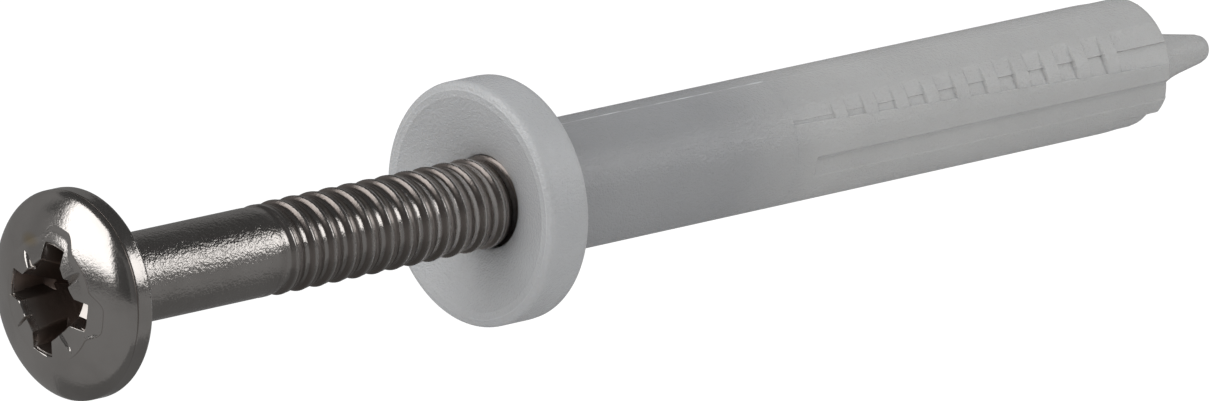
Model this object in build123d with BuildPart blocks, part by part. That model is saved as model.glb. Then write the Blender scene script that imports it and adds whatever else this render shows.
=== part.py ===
"""Hammer-in wall anchor: a one-piece plastic sleeve and the drive screw that spreads it.

The anchor lies along Y. The origin is the centre of the collar's underside, which bears on the
fixture. The sleeve reaches into the wall towards +Y, and the screw's head stands out towards -Y.
The sleeve's two expansion legs are hinged to its barrel by the plastic at their roots. Each leg is
a node of its own, so that it can swing out as the screw is driven in.
"""
from math import cos, pi, radians, sin, tan
import os

from build123d import *

# ---------------------------------------------------------------- sleeve, mm and degrees
SLEEVE_DIAMETER = 6.0
COLLAR_DIAMETER = 11.1
COLLAR_THICKNESS = 2.23
COLLAR_ROUND = 0.33
COLLAR_LAND = 0.7
DISH_DEPTH = 1.08
BARREL_LENGTH = 15.0
LEG_LENGTH = 23.25
LEG_END_ROUND = 0.5
LEG_DRAFT = 0.05
END_WALL = 1.2

# ---------------------------------------------------------------- drive screw, mm
SHANK_DIAMETER = 4.03
THREAD_DIAMETER = 4.18
THREAD_SPACING = 1.112
THREAD_STARTS = 1
THREAD_DEPTH = 0.2
THREAD_GROOVE_WIDTH = 0.56
THREAD_GROOVE_FLOOR = 0.12
THREAD_RUNOUT = 0.3
PLAIN_SHANK_LENGTH = 9.6
POINT_LENGTH = 2.4
POINT_DIAMETER = 1.9
POINT_ROUND = 0.35
HEAD_DIAMETER = 9.48
HEAD_RIM = 0.95
HEAD_RIM_ROUND = 0.28
HEAD_CROWN = 1.5
CROWN_FULLNESS = 1.7
RECESS_SPAN = 5.3
RECESS_ARM = 1.45
RECESS_CORE = 3.5
RECESS_ARM_DEPTH = 1.85
RECESS_ARM_TAPER = 14.0
RECESS_CORE_DEPTH = 2.9
RECESS_CORE_TAPER = 22.0
RECESS_TURN = -8.0
TICK_SPAN = 6.3
TICK_WIDTH = 0.16
TICK_DEPTH = 0.55

# ---------------------------------------------------------------- how they go together, mm and degrees
RUNNING_CLEARANCE = 0.055
PROUD_LENGTH = 22.45
SEAT_GAP = 0.05
TIP_CLEARANCE = 0.4
LEG_SWING = 3.0

# ---------------------------------------------------------------- slits and their ladder, mm and degrees
SLIT_TURN = 29.0
SLIT_ROOT_WIDTH = 0.13
SLIT_END_WIDTH = 1.055
WEB_PITCH = 1.866
WEB_WIDTH = 0.84
WEB_THICKNESS = 0.75
WEB_COUNT = 10
FIRST_WEB = 2.5
LEDGE_DEPTH = 0.18
LEDGE_ROOT_WIDTH = 0.63
LEDGE_END_WIDTH = 0.92

# ---------------------------------------------------------------- ribs, grooves, reliefs and nub
RIB_WIDTH = 1.4
RIB_SHARE = 0.9
GROOVE_START = 1.2
GROOVE_ANGLES = (126.0, 145.2)
GROOVE_DEPTH = 0.2
GROOVE_LIP = 0.04
RELIEF_LENGTH = 0.8
RELIEF_ANGLE = 38.0
RELIEF_FLOOR = 0.7
NUB_LENGTH = 4.85
NUB_BASE_DIAMETER = 2.6
NUB_END_DIAMETER = 1.1
NUB_ROUND = 0.4
FLARE_LENGTH = 2.4
FLARE_DIAMETER = 4.4

# ---------------------------------------------------------------- worked out from the sizes above
sleeve_radius = SLEEVE_DIAMETER / 2
collar_radius = COLLAR_DIAMETER / 2
collar_front = -COLLAR_THICKNESS
dish_radius = collar_radius - COLLAR_LAND
dish_floor = collar_front + DISH_DEPTH
leg_root = BARREL_LENGTH
leg_end = leg_root + LEG_LENGTH
leg_end_radius = sleeve_radius - LEG_LENGTH * tan(radians(LEG_DRAFT))
shank_radius = SHANK_DIAMETER / 2
thread_radius = THREAD_DIAMETER / 2
bore_radius = thread_radius + RUNNING_CLEARANCE
head_radius = HEAD_DIAMETER / 2
head_seat = collar_front - PROUD_LENGTH
travel = PROUD_LENGTH - SEAT_GAP
bore_end = leg_end - END_WALL
screw_tip = bore_end - TIP_CLEARANCE - travel
full_thread_end = screw_tip - POINT_LENGTH
thread_start = head_seat + PLAIN_SHANK_LENGTH
beyond = SLEEVE_DIAMETER


def across(y):
    """A plane across the anchor at height y, with X and Z to the right and up."""
    return Plane(origin=(0, y, 0), x_dir=(1, 0, 0), z_dir=(0, -1, 0))


def leg_across(y, turn):
    """The same plane for one leg: its x lies in the slit and its y points to the leg."""
    return Plane(origin=(0, y, 0), x_dir=(cos(turn), 0, sin(turn)), z_dir=(0, -1, 0))


def leg_side(turn):
    """A plane along the anchor: its x is the anchor's Y and its y points to the leg."""
    return Plane(origin=(0, 0, 0), x_dir=(0, 1, 0), z_dir=(cos(turn), 0, sin(turn)))


def slit_width(y):
    """The slit widens evenly from the leg's root to its end."""
    return SLIT_ROOT_WIDTH + (SLIT_END_WIDTH - SLIT_ROOT_WIDTH) * (y - leg_root) / LEG_LENGTH


def ledge_width(y):
    """The shallow ledge beside the slit widens in the same way."""
    return LEDGE_ROOT_WIDTH + (LEDGE_END_WIDTH - LEDGE_ROOT_WIDTH) * (y - leg_root) / LEG_LENGTH


def rib_height(y):
    """The rib stands up no further than the leg has swung away when the screw's full thread arrives."""
    reach = y - leg_root
    lead = leg_root - full_thread_end
    return RIB_SHARE * tan(radians(LEG_SWING)) / travel * reach * (reach + lead)


def pocket_spans():
    """The stretches of slit between the webs, from the first pocket to the one that is open at the end."""
    starts = [leg_root + FIRST_WEB + n * WEB_PITCH for n in range(WEB_COUNT)]
    spans = [(start + WEB_WIDTH, after) for start, after in zip(starts, starts[1:])]
    spans.append((starts[-1] + WEB_WIDTH, leg_end + beyond))
    return [(leg_root - beyond, starts[0])] + spans


# ---------------------------------------------------------------- drive screw
rim_top = head_seat - HEAD_RIM
head_top = rim_top - HEAD_CROWN


def crown_point(turn):
    """A point of the domed crown: steep at the rim when turn is 0, level on the axis at a quarter turn."""
    out = head_radius * cos(turn) ** (2 / CROWN_FULLNESS)
    up = HEAD_CROWN * sin(turn) ** (2 / CROWN_FULLNESS)
    return (out, rim_top - up)


with BuildPart() as drive_screw:
    with BuildSketch(Plane.XY):
        with BuildLine():
            Polyline((0, head_top), (0, head_seat), (head_radius, head_seat), (head_radius, rim_top))
            Spline([crown_point(pi / 2 * n / 8) for n in range(8)] + [(0, head_top)])
        make_face()
    revolve(axis=Axis.Y)
    fillet(drive_screw.edges().filter_by(GeomType.CIRCLE).sort_by(Axis.Y)[-1], HEAD_RIM_ROUND)
    with BuildSketch(across(thread_start)):
        Circle(shank_radius)
    extrude(amount=thread_start - head_seat)
    with BuildSketch(Plane.XY):
        with BuildLine():
            Polyline(
                (0, thread_start),
                (thread_radius, thread_start),
                (thread_radius, full_thread_end),
                (POINT_DIAMETER / 2, screw_tip),
                (0, screw_tip),
                close=True,
            )
        make_face()
    revolve(axis=Axis.Y)
    fillet(drive_screw.edges().filter_by(GeomType.CIRCLE).sort_by(Axis.Y)[-1], POINT_ROUND)
    # the cross recess: four arms and a deeper square core set across them, all narrowing downwards
    with BuildSketch(across(head_top)):
        Rectangle(RECESS_SPAN, RECESS_ARM, rotation=RECESS_TURN)
        Rectangle(RECESS_ARM, RECESS_SPAN, rotation=RECESS_TURN)
    extrude(amount=-RECESS_ARM_DEPTH, taper=RECESS_ARM_TAPER, mode=Mode.SUBTRACT)
    with BuildSketch(across(head_top)):
        Rectangle(RECESS_CORE, RECESS_CORE, rotation=RECESS_TURN + 45)
    extrude(amount=-RECESS_CORE_DEPTH, taper=RECESS_CORE_TAPER, mode=Mode.SUBTRACT)
    # the tick marks between the arms
    with BuildSketch(across(head_top)):
        Rectangle(TICK_SPAN, TICK_WIDTH, rotation=RECESS_TURN + 45)
        Rectangle(TICK_WIDTH, TICK_SPAN, rotation=RECESS_TURN + 45)
    extrude(amount=-TICK_DEPTH, mode=Mode.SUBTRACT)

# the rolled grooves between the thread's turns: their walls are carried on a little above the crests
groove_start = thread_start + THREAD_RUNOUT
groove_top = THREAD_DEPTH / 2
groove_slope = (THREAD_GROOVE_WIDTH - THREAD_GROOVE_FLOOR) / THREAD_DEPTH
groove_top_width = THREAD_GROOVE_WIDTH + groove_slope * groove_top

with BuildPart() as thread_groove:
    with BuildLine():
        turns = Helix(
            THREAD_SPACING * THREAD_STARTS,
            full_thread_end - thread_start - 2 * THREAD_RUNOUT,
            thread_radius,
            center=(0, groove_start, 0),
            direction=(0, 1, 0),
        )
    outwards = (turns @ 0) - Vector(0, groove_start, 0)
    with BuildSketch(Plane(origin=turns @ 0, x_dir=outwards, z_dir=turns % 0)):
        with BuildLine():
            Polyline(
                (groove_top, -groove_top_width / 2),
                (-THREAD_DEPTH, -THREAD_GROOVE_FLOOR / 2),
                (-THREAD_DEPTH, THREAD_GROOVE_FLOOR / 2),
                (groove_top, groove_top_width / 2),
                close=True,
            )
        make_face()
    sweep(is_frenet=True)

with drive_screw:
    for start in range(THREAD_STARTS):
        add(thread_groove.part.rotate(Axis.Y, start * 360 / THREAD_STARTS), mode=Mode.SUBTRACT)

# ---------------------------------------------------------------- sleeve: collar and barrel
with BuildPart() as sleeve:
    with BuildSketch(Plane.XY):
        with BuildLine():
            Polyline(
                (bore_radius, dish_floor),
                (dish_radius, collar_front),
                (collar_radius, collar_front),
                (collar_radius, 0),
                (sleeve_radius, 0),
                (sleeve_radius, leg_root),
                (bore_radius, leg_root),
                close=True,
            )
        make_face()
    revolve(axis=Axis.Y)
    rims = sleeve.edges().filter_by(GeomType.CIRCLE).group_by(SortBy.RADIUS)[-1]
    fillet(rims.sort_by(Axis.Y)[0], COLLAR_ROUND)


# ---------------------------------------------------------------- the two expansion legs
def make_leg(turn_degrees, has_nub):
    """One leg: its own slit is beside it at turn_degrees round the axis, the other leg's is opposite."""
    turn = radians(turn_degrees)
    side = leg_side(turn)
    web_floor = sleeve_radius - WEB_THICKNESS
    ledge_floor = sleeve_radius - LEDGE_DEPTH
    with BuildPart() as leg:
        with BuildSketch(leg_across(leg_end, turn)):
            Circle(leg_end_radius)
        extrude(amount=LEG_LENGTH, taper=-LEG_DRAFT)
        fillet(leg.edges().filter_by(GeomType.CIRCLE).sort_by(Axis.Y)[-1], LEG_END_ROUND)
        with BuildSketch(leg_across(bore_end, turn)):
            Circle(bore_radius)
        extrude(amount=bore_end - leg_root, mode=Mode.SUBTRACT)
        # the rib along the middle of the bore, which the screw pushes to spread the leg
        steps = [leg_root + (bore_end - leg_root) * n / 4 for n in range(5)]
        crest = [(y, bore_radius - rib_height(y)) for y in steps]
        rib_back = (bore_radius + sleeve_radius) / 2
        with BuildSketch(side):
            with BuildLine():
                Spline(crest)
                Polyline(crest[-1], (bore_end, rib_back), (leg_root, rib_back), crest[0])
            make_face()
        extrude(amount=RIB_WIDTH / 2, both=True)
        # this leg stops at the other leg's edges: its webs reach across its own slit to one of them
        for reach, edge in ((beyond, -1), (-beyond, 1)):
            with BuildSketch(side):
                with BuildLine():
                    Polyline(
                        (leg_root - 1, edge * slit_width(leg_root - 1)),
                        (leg_end + 1, edge * slit_width(leg_end + 1)),
                        (leg_end + 1, -beyond),
                        (leg_root - 1, -beyond),
                        close=True,
                    )
                make_face()
            extrude(amount=reach, mode=Mode.SUBTRACT)
        # the slit is open behind the webs
        with BuildSketch(side):
            with BuildLine():
                Polyline(
                    (leg_root - 1, 0),
                    (leg_end + 1, 0),
                    (leg_end + 1, -beyond),
                    (leg_root - 1, -beyond),
                    close=True,
                )
            make_face()
        extrude(amount=web_floor, mode=Mode.SUBTRACT)
        # the pockets between the webs, each with a shallow ledge beside the slit
        for start, stop in pocket_spans():
            with BuildSketch(side):
                with BuildLine():
                    Polyline((start, 0), (stop, 0), (stop, -beyond), (start, -beyond), close=True)
                make_face()
            extrude(amount=beyond, mode=Mode.SUBTRACT)
            with BuildSketch(side.offset(ledge_floor)):
                with BuildLine():
                    Polyline(
                        (start, -1),
                        (stop, -1),
                        (stop, ledge_width(stop)),
                        (start, ledge_width(start)),
                        close=True,
                    )
                make_face()
            extrude(amount=beyond, mode=Mode.SUBTRACT)
        # the long groove, deep at its edge nearer the other leg's slit and running out at the other
        near, far = [radians(angle) for angle in GROOVE_ANGLES[::-1]]
        with BuildSketch(leg_across(leg_end + 1, turn)):
            with BuildLine():
                floor_near = sleeve_radius - GROOVE_DEPTH
                floor_far = sleeve_radius - GROOVE_LIP
                Polyline(
                    (floor_near * cos(near), floor_near * sin(near)),
                    (floor_far * cos(far), floor_far * sin(far)),
                    (beyond * cos(far), beyond * sin(far)),
                    (beyond * cos(near), beyond * sin(near)),
                    close=True,
                )
            make_face()
        extrude(amount=leg_end + 1 - leg_root - GROOVE_START, mode=Mode.SUBTRACT)
        # the relief in the middle of the leg's end
        spread = radians(RELIEF_ANGLE / 2)
        middle = radians(90)
        floor = sleeve_radius - RELIEF_FLOOR
        with BuildSketch(leg_across(leg_end + 1, turn)):
            with BuildLine():
                RadiusArc(
                    (floor * cos(middle + spread), floor * sin(middle + spread)),
                    (floor * cos(middle - spread), floor * sin(middle - spread)),
                    floor,
                )
                Polyline(
                    (floor * cos(middle - spread), floor * sin(middle - spread)),
                    (beyond * cos(middle - spread), beyond * sin(middle - spread)),
                    (beyond * cos(middle + spread), beyond * sin(middle + spread)),
                    (floor * cos(middle + spread), floor * sin(middle + spread)),
                )
            make_face()
        extrude(amount=1 + RELIEF_LENGTH, mode=Mode.SUBTRACT)
        if has_nub:
            # the conical nub on the axis, and its flare on this leg's side
            with BuildSketch(side):
                with BuildLine():
                    Polyline(
                        (leg_end, 0),
                        (leg_end, NUB_BASE_DIAMETER / 2),
                        (leg_end + NUB_LENGTH, NUB_END_DIAMETER / 2),
                        (leg_end + NUB_LENGTH, 0),
                        close=True,
                    )
                make_face()
            revolve(axis=Axis.Y)
            fillet(leg.edges().filter_by(GeomType.CIRCLE).sort_by(Axis.Y)[-1], NUB_ROUND)
            nub_slope = (NUB_BASE_DIAMETER - NUB_END_DIAMETER) / 2 / NUB_LENGTH
            nub_at_flare = NUB_BASE_DIAMETER / 2 - FLARE_LENGTH * nub_slope
            with BuildSketch(Plane(origin=(0, 0, 0), x_dir=(0, 1, 0), z_dir=side.y_dir)):
                with BuildLine():
                    foot = (leg_end, FLARE_DIAMETER / 2)
                    top = (leg_end + FLARE_LENGTH, nub_at_flare)
                    RadiusArc(foot, top, FLARE_LENGTH * 1.6)
                    Polyline(top, (leg_end + FLARE_LENGTH, 0), (leg_end, 0), foot)
                make_face()
            revolve(axis=Axis.Y, revolution_arc=180)
    return leg.part


leg_upper = make_leg(SLIT_TURN, False)
leg_lower = make_leg(SLIT_TURN + 180, True)

# ---------------------------------------------------------------- labels and files
os.makedirs("parts", exist_ok=True)
drive_screw.part.label = "drive_screw"
export_step(drive_screw.part, "parts/drive_screw.step")
sleeve.part.label = "sleeve"
export_step(sleeve.part, "parts/sleeve.step")
leg_upper.label = "leg_upper"
export_step(leg_upper, "parts/leg_upper.step")
leg_lower.label = "leg_lower"
export_step(leg_lower, "parts/leg_lower.step")
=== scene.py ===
"""A wall anchor: a steel drive screw in a nylon sleeve with two expansion legs.

Sizes are in millimetres, angles in degrees. The anchor lies along Y: the screw's head
is at the low end and the sleeve's tip at the high end. Angles round the axis start at
+X and turn towards +Z.
"""

from functools import partial
from math import asin, cos, degrees, hypot, pi, radians, sin, sqrt, tan

import bmesh
import bpy
from mathutils import Matrix, Vector


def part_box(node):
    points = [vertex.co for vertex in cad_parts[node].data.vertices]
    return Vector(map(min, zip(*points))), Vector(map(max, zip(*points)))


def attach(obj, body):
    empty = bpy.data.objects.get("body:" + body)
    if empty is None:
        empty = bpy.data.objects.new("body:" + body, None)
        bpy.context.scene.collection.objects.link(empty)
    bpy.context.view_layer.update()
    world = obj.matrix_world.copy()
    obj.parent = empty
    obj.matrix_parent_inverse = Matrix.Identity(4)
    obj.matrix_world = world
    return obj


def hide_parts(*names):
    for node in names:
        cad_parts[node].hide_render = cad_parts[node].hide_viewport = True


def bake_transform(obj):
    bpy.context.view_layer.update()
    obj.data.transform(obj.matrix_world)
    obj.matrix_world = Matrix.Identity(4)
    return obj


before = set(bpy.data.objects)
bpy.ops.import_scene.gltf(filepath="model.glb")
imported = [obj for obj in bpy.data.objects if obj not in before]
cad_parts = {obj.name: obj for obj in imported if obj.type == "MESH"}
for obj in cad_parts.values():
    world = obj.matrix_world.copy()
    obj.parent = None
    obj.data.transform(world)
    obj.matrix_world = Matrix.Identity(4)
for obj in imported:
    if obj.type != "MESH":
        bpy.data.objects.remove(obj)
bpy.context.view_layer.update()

MM = 0.001


def box_mm(node):
    """A CAD node's lowest and highest corner, in mm."""
    low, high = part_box(node)
    return [value / MM for value in low], [value / MM for value in high]


sleeve_low, sleeve_high = box_mm("sleeve")
screw_high = box_mm("drive_screw")[1]
lower_leg_high = box_mm("leg_lower")[1]

# ---- sizes, mm and degrees
COLLAR_FRONT = sleeve_low[1]
COLLAR_RADIUS = sleeve_high[0]
COLLAR_ROUND = 0.33
COLLAR_BACK_ROUND = 0.1
BARREL_RADIUS = 3.0
BARREL_END = 15.0
BARREL_CORE_END = 14.0
BORE_RADIUS = 2.145
DISH_RADIUS = 4.85
DISH_FLOOR = -1.15
DISH_FULLNESS = 0.8
MOUTH_RADIUS = 2.1
# the collar's face carries a fine raised ring near its rim
FACE_RING_RADIUS = 5.175
NYLON_CREASE = 38.0

LEG_END = 38.38
LEG_DRAFT = 0.05
LEG_END_ROUND = 0.45
BORE_END = 37.05
SLIT_TURN = 29.0
SLIT_ROOT_WIDTH = 0.13
SLIT_END_WIDTH = 1.055
WEB_PITCH = 1.866
WEB_WIDTH = 0.84
WEB_COUNT = 10
FIRST_WEB = 17.5
WEB_FLOOR = 2.25
LEDGE_DEPTH = 0.18
LEDGE_ROOT_WIDTH = 0.63
LEDGE_END_WIDTH = 0.92
GROOVE_START = 16.2
GROOVE_SHALLOW_ANGLE = 126.0
GROOVE_DEEP_ANGLE = 145.2
GROOVE_DEPTH = 0.26
GROOVE_LIP = 0.04
RELIEF_ANGLES = (71.0, 109.0)
RELIEF_EDGE = 1.2
RELIEF_DEPTH = 0.7
RELIEF_LENGTH = 0.8
PARTING_ANGLE = 81.0
PARTING_LEAN = 0.165
PARTING_HEIGHT = 0.018
PARTING_HALF_WIDTH = 0.75
# how far the screw drives in, how far each leg swings out, and the rib that makes it
SCREW_TRAVEL = 22.4
LEG_SWING = 3.0
RIB_SHARE = 0.9
RIB_HALF_WIDTH = 0.6
RIB_FOOT = 0.8

NUB_TIP = lower_leg_high[1]
NUB_BASE_RADIUS = 1.4
NUB_TIP_RADIUS = 0.6
NUB_DROP = 0.14
NUB_ROUND = 0.4
FLARE_LENGTH = 3.0
FLARE_RADIUS = 2.45

HEAD_SEAT = -24.68
HEAD_RADIUS = 4.68
HEAD_DROP = 0.12
RIM_TOP = -25.63
CROWN_HEIGHT = 1.5
CROWN_TOP = RIM_TOP - CROWN_HEIGHT
CROWN_FULLNESS = 1.7
RIM_ROUND = 0.28
RECESS_REACH = 2.58
RECESS_HALF_ARM = 0.705
RECESS_CORE = 1.75
RECESS_ARM_DEPTH = 1.85
RECESS_ARM_TAPER = 14.0
RECESS_CORE_DEPTH = 2.9
RECESS_CORE_TAPER = 22.0
RECESS_TURN = -9.0
SHANK_RADIUS = 2.015
SHANK_END = -15.5
THREAD_RUN_IN_END = -13.4
THREAD_RADIUS = 2.09
THREAD_DEPTH = 0.2
THREAD_SPACING = 1.112
THREAD_STARTS = 1
THREAD_CREST = -10.787
FULL_THREAD_END = 11.85
SCREW_TIP = screw_high[1]
POINT_RADIUS = 0.95
STEEL_CREASE = 40.0


# ---- small sums
def blend_up(value, start, stop):
    """0 before start, 1 after stop, and a smooth step between them."""
    part = min(max((value - start) / (stop - start), 0.0), 1.0)
    return part * part * (3 - 2 * part)


def mix(first, second, share):
    """From the first value to the second by that share."""
    return first + (second - first) * share


def steps(start, stop, count):
    """count even steps from start up to stop, both included."""
    return [start + (stop - start) * n / (count - 1) for n in range(count)]


def band(value, start, stop, soft):
    """1 from start to stop and 0 outside them, with smooth steps of that half width."""
    return blend_up(value, start - soft, start + soft) - blend_up(value, stop - soft, stop + soft)


def around(radius, angle, y):
    """The point at that radius and angle round the anchor's axis."""
    turn = radians(angle)
    return (radius * cos(turn), y, radius * sin(turn))


def placed(name, data):
    """A new object in the scene, with that data."""
    made = bpy.data.objects.new(name, data)
    bpy.context.scene.collection.objects.link(made)
    return made


# ---- camera
CAMERA_AZIMUTH = 47.6825
CAMERA_ELEVATION = 13.9676
CAMERA_DISTANCE = 845.0
CAMERA_RIGHT = 4.5146
CAMERA_UP = -0.1533
CAMERA_LENS = 564.22
CAMERA_SENSOR = 36


def make_camera():
    """A long lens that looks down a little on the anchor from the head's side."""
    azimuth, elevation = radians(CAMERA_AZIMUTH), radians(CAMERA_ELEVATION)
    level = cos(elevation)
    back = Vector((sin(azimuth) * level, -cos(azimuth) * level, sin(elevation)))
    right = Vector((cos(azimuth), sin(azimuth), 0))
    up = back.cross(right)
    place = (back * CAMERA_DISTANCE + right * CAMERA_RIGHT + up * CAMERA_UP) * MM
    camera_data = bpy.data.cameras.new("camera")
    camera_data.lens = CAMERA_LENS
    camera_data.sensor_width = CAMERA_SENSOR
    camera_data.clip_end = 10
    camera = placed("camera", camera_data)
    turned = Matrix((right, up, back)).transposed().to_4x4()
    camera.matrix_world = Matrix.Translation(place) @ turned
    bpy.context.scene.camera = camera


make_camera()


# ---- node helpers
def node(tree, kind, inputs=(), **settings):
    """A new node with its settings and inputs; an input that is a socket is linked."""
    made = tree.nodes.new(kind)
    for name, value in settings.items():
        setattr(made, name, value)
    for name, value in dict(inputs).items():
        if isinstance(value, bpy.types.NodeSocket):
            tree.links.new(value, made.inputs[name])
        else:
            made.inputs[name].default_value = value
    return made


def sums(tree, operation, *values, clamp=False):
    """A Math node's result."""
    made = node(tree, "ShaderNodeMath", enumerate(values), operation=operation, use_clamp=clamp)
    return made.outputs[0]


def ranged(tree, value, low, high, new_low=0.0, new_high=1.0, smooth=True):
    """A Map Range node's result."""
    kind = "SMOOTHSTEP" if smooth else "LINEAR"
    inputs = {
        "Value": value,
        "From Min": low,
        "From Max": high,
        "To Min": new_low,
        "To Max": new_high,
    }
    made = node(tree, "ShaderNodeMapRange", inputs, interpolation_type=kind)
    return made.outputs["Result"]


def mixed(tree, share, first, second):
    """From the first value to the second by that share."""
    return ranged(tree, share, 0.0, 1.0, first, second, smooth=False)


def blended(tree, share, first, second, way="MIX"):
    """A colour Mix node's result: inputs 6 and 7 are its two colours."""
    inputs = {"Factor": share, 6: first, 7: second}
    made = node(tree, "ShaderNodeMix", inputs, data_type="RGBA", blend_type=way)
    return made.outputs[2]


def sockets(tree, way, kind, *names):
    """New inputs or outputs of a node group."""
    for name in names:
        tree.interface.new_socket(name, in_out=way, socket_type="NodeSocket" + kind)


def grain_group():
    """Grain for any finish: a coarse and a fine layer of bumps, and a slow drift of tone."""
    tree = bpy.data.node_groups.new("surface grain", "ShaderNodeTree")
    sockets(tree, "INPUT", "Vector", "Vector")
    sockets(tree, "INPUT", "Float", "Coarse Scale", "Fine Scale", "Drift Scale", "Fine Share")
    sockets(tree, "OUTPUT", "Float", "Height", "Speckle", "Drift")
    given = tree.nodes.new("NodeGroupInput").outputs
    layers = {}
    for name, detail in (("Coarse", 2.0), ("Fine", 2.5), ("Drift", 3.0)):
        inputs = {
            "Vector": given["Vector"],
            "Scale": given[name + " Scale"],
            "Detail": detail,
            "Roughness": 0.55,
        }
        layers[name] = node(tree, "ShaderNodeTexNoise", inputs).outputs["Fac"]
    fine = sums(tree, "MULTIPLY", layers["Fine"], given["Fine Share"])
    coarse_share = sums(tree, "SUBTRACT", 1.0, given["Fine Share"])
    coarse = sums(tree, "MULTIPLY", layers["Coarse"], coarse_share)
    out = tree.nodes.new("NodeGroupOutput").inputs
    tree.links.new(sums(tree, "ADD", fine, coarse), out["Height"])
    tree.links.new(ranged(tree, layers["Fine"], 0.35, 0.7), out["Speckle"])
    tree.links.new(ranged(tree, layers["Drift"], 0.3, 0.7), out["Drift"])
    return tree


surface_grain = grain_group()


def new_material(name):
    """A material, its node tree, its shader and the piece's own coordinates."""
    material = bpy.data.materials.new(name)
    material.use_nodes = True
    tree = material.node_tree
    shader = next(n for n in tree.nodes if n.type == "BSDF_PRINCIPLED")
    place = tree.nodes.new("ShaderNodeTexCoord").outputs["Object"]
    return material, tree, shader, place


def grained(tree, place, coarse, fine, drift, fine_share):
    """The grain group in a material: sizes are in mm."""
    inputs = {"Vector": place, "Fine Share": fine_share}
    for name, size in (("Coarse", coarse), ("Fine", fine), ("Drift", drift)):
        inputs[name + " Scale"] = 1 / (size * MM)
    return node(tree, "ShaderNodeGroup", inputs, node_tree=surface_grain).outputs


def bumped(tree, height, depth):
    """A Bump node's normal: depth is in mm."""
    inputs = {"Height": height, "Distance": depth * MM}
    return node(tree, "ShaderNodeBump", inputs).outputs["Normal"]


COLLAR_NYLON = (0.455, 0.458, 0.461, 1)
# the barrel's cooler, darker tone is painted shade from the steel inside the nylon
NYLON_PAINTED_STEEL_SHADE = (0.315, 0.317, 0.32, 1)
CLEAR_NYLON = (0.45, 0.447, 0.438, 1)
NYLON_DRIFT = (0.95, 0.95, 0.95, 1)
# a paler tone painted along flash and fine edges, as a painted highlight
NYLON_PAINTED_HIGHLIGHT = (0.62, 0.625, 0.63, 1)
DULL_STEEL = (0.565, 0.535, 0.51, 1)
BRIGHT_STEEL = (0.635, 0.603, 0.577, 1)
STRAW_STEEL = (0.6, 0.49, 0.33, 1)
# dark oxidised colour, also used as painted shade in hollows, creases and the thread's flanks
OXIDE_AND_PAINTED_SHADE = (0.2, 0.16, 0.14, 1)
# the small straw-coloured stain on the crown
STAIN_CENTRE = (-1.3, -26.9, 2.35)
STAIN_SIZE = (0.75, 0.75, 0.4)


def make_nylon():
    """Milky natural nylon, with painted shade where the steel lies behind it: there the barrel is
    painted cooler and darker.
    """
    material, tree, shader, place = new_material("milky nylon")
    grain = grained(tree, place, coarse=0.18, fine=0.09, drift=3.5, fine_share=0.5)
    along = node(tree, "ShaderNodeSeparateXYZ", {"Vector": place}).outputs["Y"]
    # painted shade: from the collar into the barrel the colour turns darker and cooler, and clears
    # again past where the screw ends
    barrel = ranged(tree, along, -0.4 * MM, 1.2 * MM)
    clear = ranged(tree, along, 10.0 * MM, 18.5 * MM)
    painted_steel_shade = blended(tree, barrel, COLLAR_NYLON, NYLON_PAINTED_STEEL_SHADE)
    tone = blended(tree, clear, painted_steel_shade, CLEAR_NYLON)
    drifted = blended(tree, grain["Drift"], tone, NYLON_DRIFT, "MULTIPLY")
    # painted highlight: thin flash and the collar face's sharp edges are painted paler, as lit
    # lines
    flash = node(tree, "ShaderNodeAttribute", attribute_name="flash").outputs["Fac"]
    with_painted_highlight = blended(tree, flash, drifted, NYLON_PAINTED_HIGHLIGHT)
    tree.links.new(with_painted_highlight, shader.inputs["Base Color"])
    # the frosted skin is finely grained, and glints where its specks are smoother
    rough = mixed(tree, grain["Speckle"], 0.14, 0.24)
    tree.links.new(rough, shader.inputs["Roughness"])
    tree.links.new(bumped(tree, grain["Height"], 0.06), shader.inputs["Normal"])
    shader.inputs["IOR"].default_value = 1.75
    shader.inputs["Subsurface Weight"].default_value = 0.5
    shader.inputs["Subsurface Radius"].default_value = (1.0, 0.9, 0.8)
    shader.inputs["Subsurface Scale"].default_value = 0.3 * MM
    return material


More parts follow.
